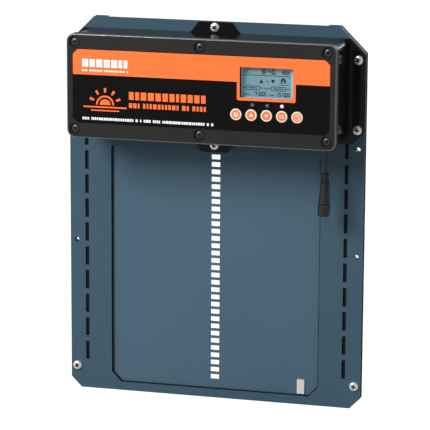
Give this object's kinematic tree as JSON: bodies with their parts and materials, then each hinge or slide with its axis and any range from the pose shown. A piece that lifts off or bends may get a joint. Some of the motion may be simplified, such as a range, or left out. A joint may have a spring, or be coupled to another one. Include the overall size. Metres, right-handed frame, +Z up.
{
  "type": "automatic coop door",
  "caption": "Framed sliding coop door lifted by a geared motor through a punched rack, with a control housing, display, buttons and an inline supply socket.",
  "frame": {"origin": "centre of the four wall holes, on the rear sheet's wall face", "axes": "+X to the right when facing the door, +Y into the wall, +Z up; the doorway and housing face -Y"},
  "size_m": [0.28, 0.0632, 0.356],
  "materials": {
    "blue_sheet": "satin powder coat on aluminium sheet",
    "door_sheet": "satin powder coat on aluminium sheet",
    "rail_black": "moulded plastic",
    "bright_screw": "bright nickel plate",
    "base_black": "glossy moulded plastic",
    "lid_charcoal": "fine-textured moulded plastic",
    "seal_black": "soft rubber",
    "screw_black": "black zinc",
    "label_film": "printed film with an orange band",
    "clear_pane": "clear acrylic",
    "display_glass": "lit liquid crystal display",
    "light_lens": "clear light pipe",
    "board_green": "solder mask on glass fibre",
    "plain_steel": "zinc plate",
    "switch_black": "moulded plastic",
    "tray_black": "moulded plastic",
    "cell_jacket": "printed sleeve on a steel can",
    "motor_can": "drawn steel can",
    "bush_brass": "sintered bronze",
    "sensor_black": "potted sensor",
    "cable_black": "flexible sheath",
    "socket_black": "moulded plastic",
    "magnet_nickel": "nickel plate",
    "pinion_white": "moulded acetal",
    "button_orange": "moulded silicone-coated plastic"
  },
  "bodies": {
    "frame": {"front_frame": "blue_sheet", "rear_frame": "blue_sheet", "guide_rail_left": "rail_black", "guide_rail_right": "rail_black", "sill_bar": "rail_black", "frame_screws": "bright_screw", "press_nuts": "bright_screw", "housing_base": "base_black", "housing_gasket": "seal_black", "housing_lid": "lid_charcoal", "lid_screws": "screw_black", "flange_screws": "bright_screw", "tab_screws": "bright_screw", "front_label": "label_film", "display_window": "clear_pane", "display_panel": "display_glass", "indicator_lights": "light_lens", "circuit_board": "board_green", "board_screws": "plain_steel", "button_switches": "switch_black", "battery_tray": "tray_black", "battery_cells": "cell_jacket", "battery_springs": "plain_steel", "gearbox": "plain_steel", "motor": "motor_can", "motor_bracket": "plain_steel", "gearbox_screws": "plain_steel", "bracket_screws": "plain_steel", "shaft_bush": "bush_brass", "position_sensor": "sensor_black", "cable_gland": "cable_black", "supply_cable": "cable_black", "socket_strain_relief": "cable_black", "socket_body": "socket_black", "socket_barrel": "socket_black", "socket_pin": "plain_steel"},
    "door": {"door_panel": "door_sheet", "door_magnet": "magnet_nickel"},
    "pinion": {"drive_pinion": "pinion_white", "pinion_shaft": "plain_steel", "shaft_clip": "plain_steel"},
    "settings_button_body": {"settings_button": "button_orange"},
    "up_button_body": {"up_button": "button_orange"},
    "down_button_body": {"down_button": "button_orange"},
    "mode_button_body": {"mode_button": "button_orange"},
    "timer_button_body": {"timer_button": "button_orange"}
  },
  "joints": [
    {"name": "door_lift", "type": "slide", "parent": "frame", "child": "door", "axis": [0, 0, 1], "range_m": [0, 0.235]},
    {"name": "pinion_spin", "type": "hinge", "parent": "frame", "child": "pinion", "pos_m": [0, -0.02405, 0.0984], "axis": [1, 0, 0], "range_deg": [-2, 690]},
    {"name": "settings_button_press", "type": "slide", "parent": "frame", "child": "settings_button_body", "axis": [0, 1, 0], "range_m": [0, 0.0004], "stiffness_N_per_m": 500},
    {"name": "up_button_press", "type": "slide", "parent": "frame", "child": "up_button_body", "axis": [0, 1, 0], "range_m": [0, 0.0004], "stiffness_N_per_m": 500},
    {"name": "down_button_press", "type": "slide", "parent": "frame", "child": "down_button_body", "axis": [0, 1, 0], "range_m": [0, 0.0004], "stiffness_N_per_m": 500},
    {"name": "mode_button_press", "type": "slide", "parent": "frame", "child": "mode_button_body", "axis": [0, 1, 0], "range_m": [0, 0.0004], "stiffness_N_per_m": 500},
    {"name": "timer_button_press", "type": "slide", "parent": "frame", "child": "timer_button_body", "axis": [0, 1, 0], "range_m": [0, 0.0004], "stiffness_N_per_m": 500}
  ],
  "couplings": [
    {"joint": "pinion_spin", "follows": "door_lift", "rad_per_m": 49.867}
  ]
}
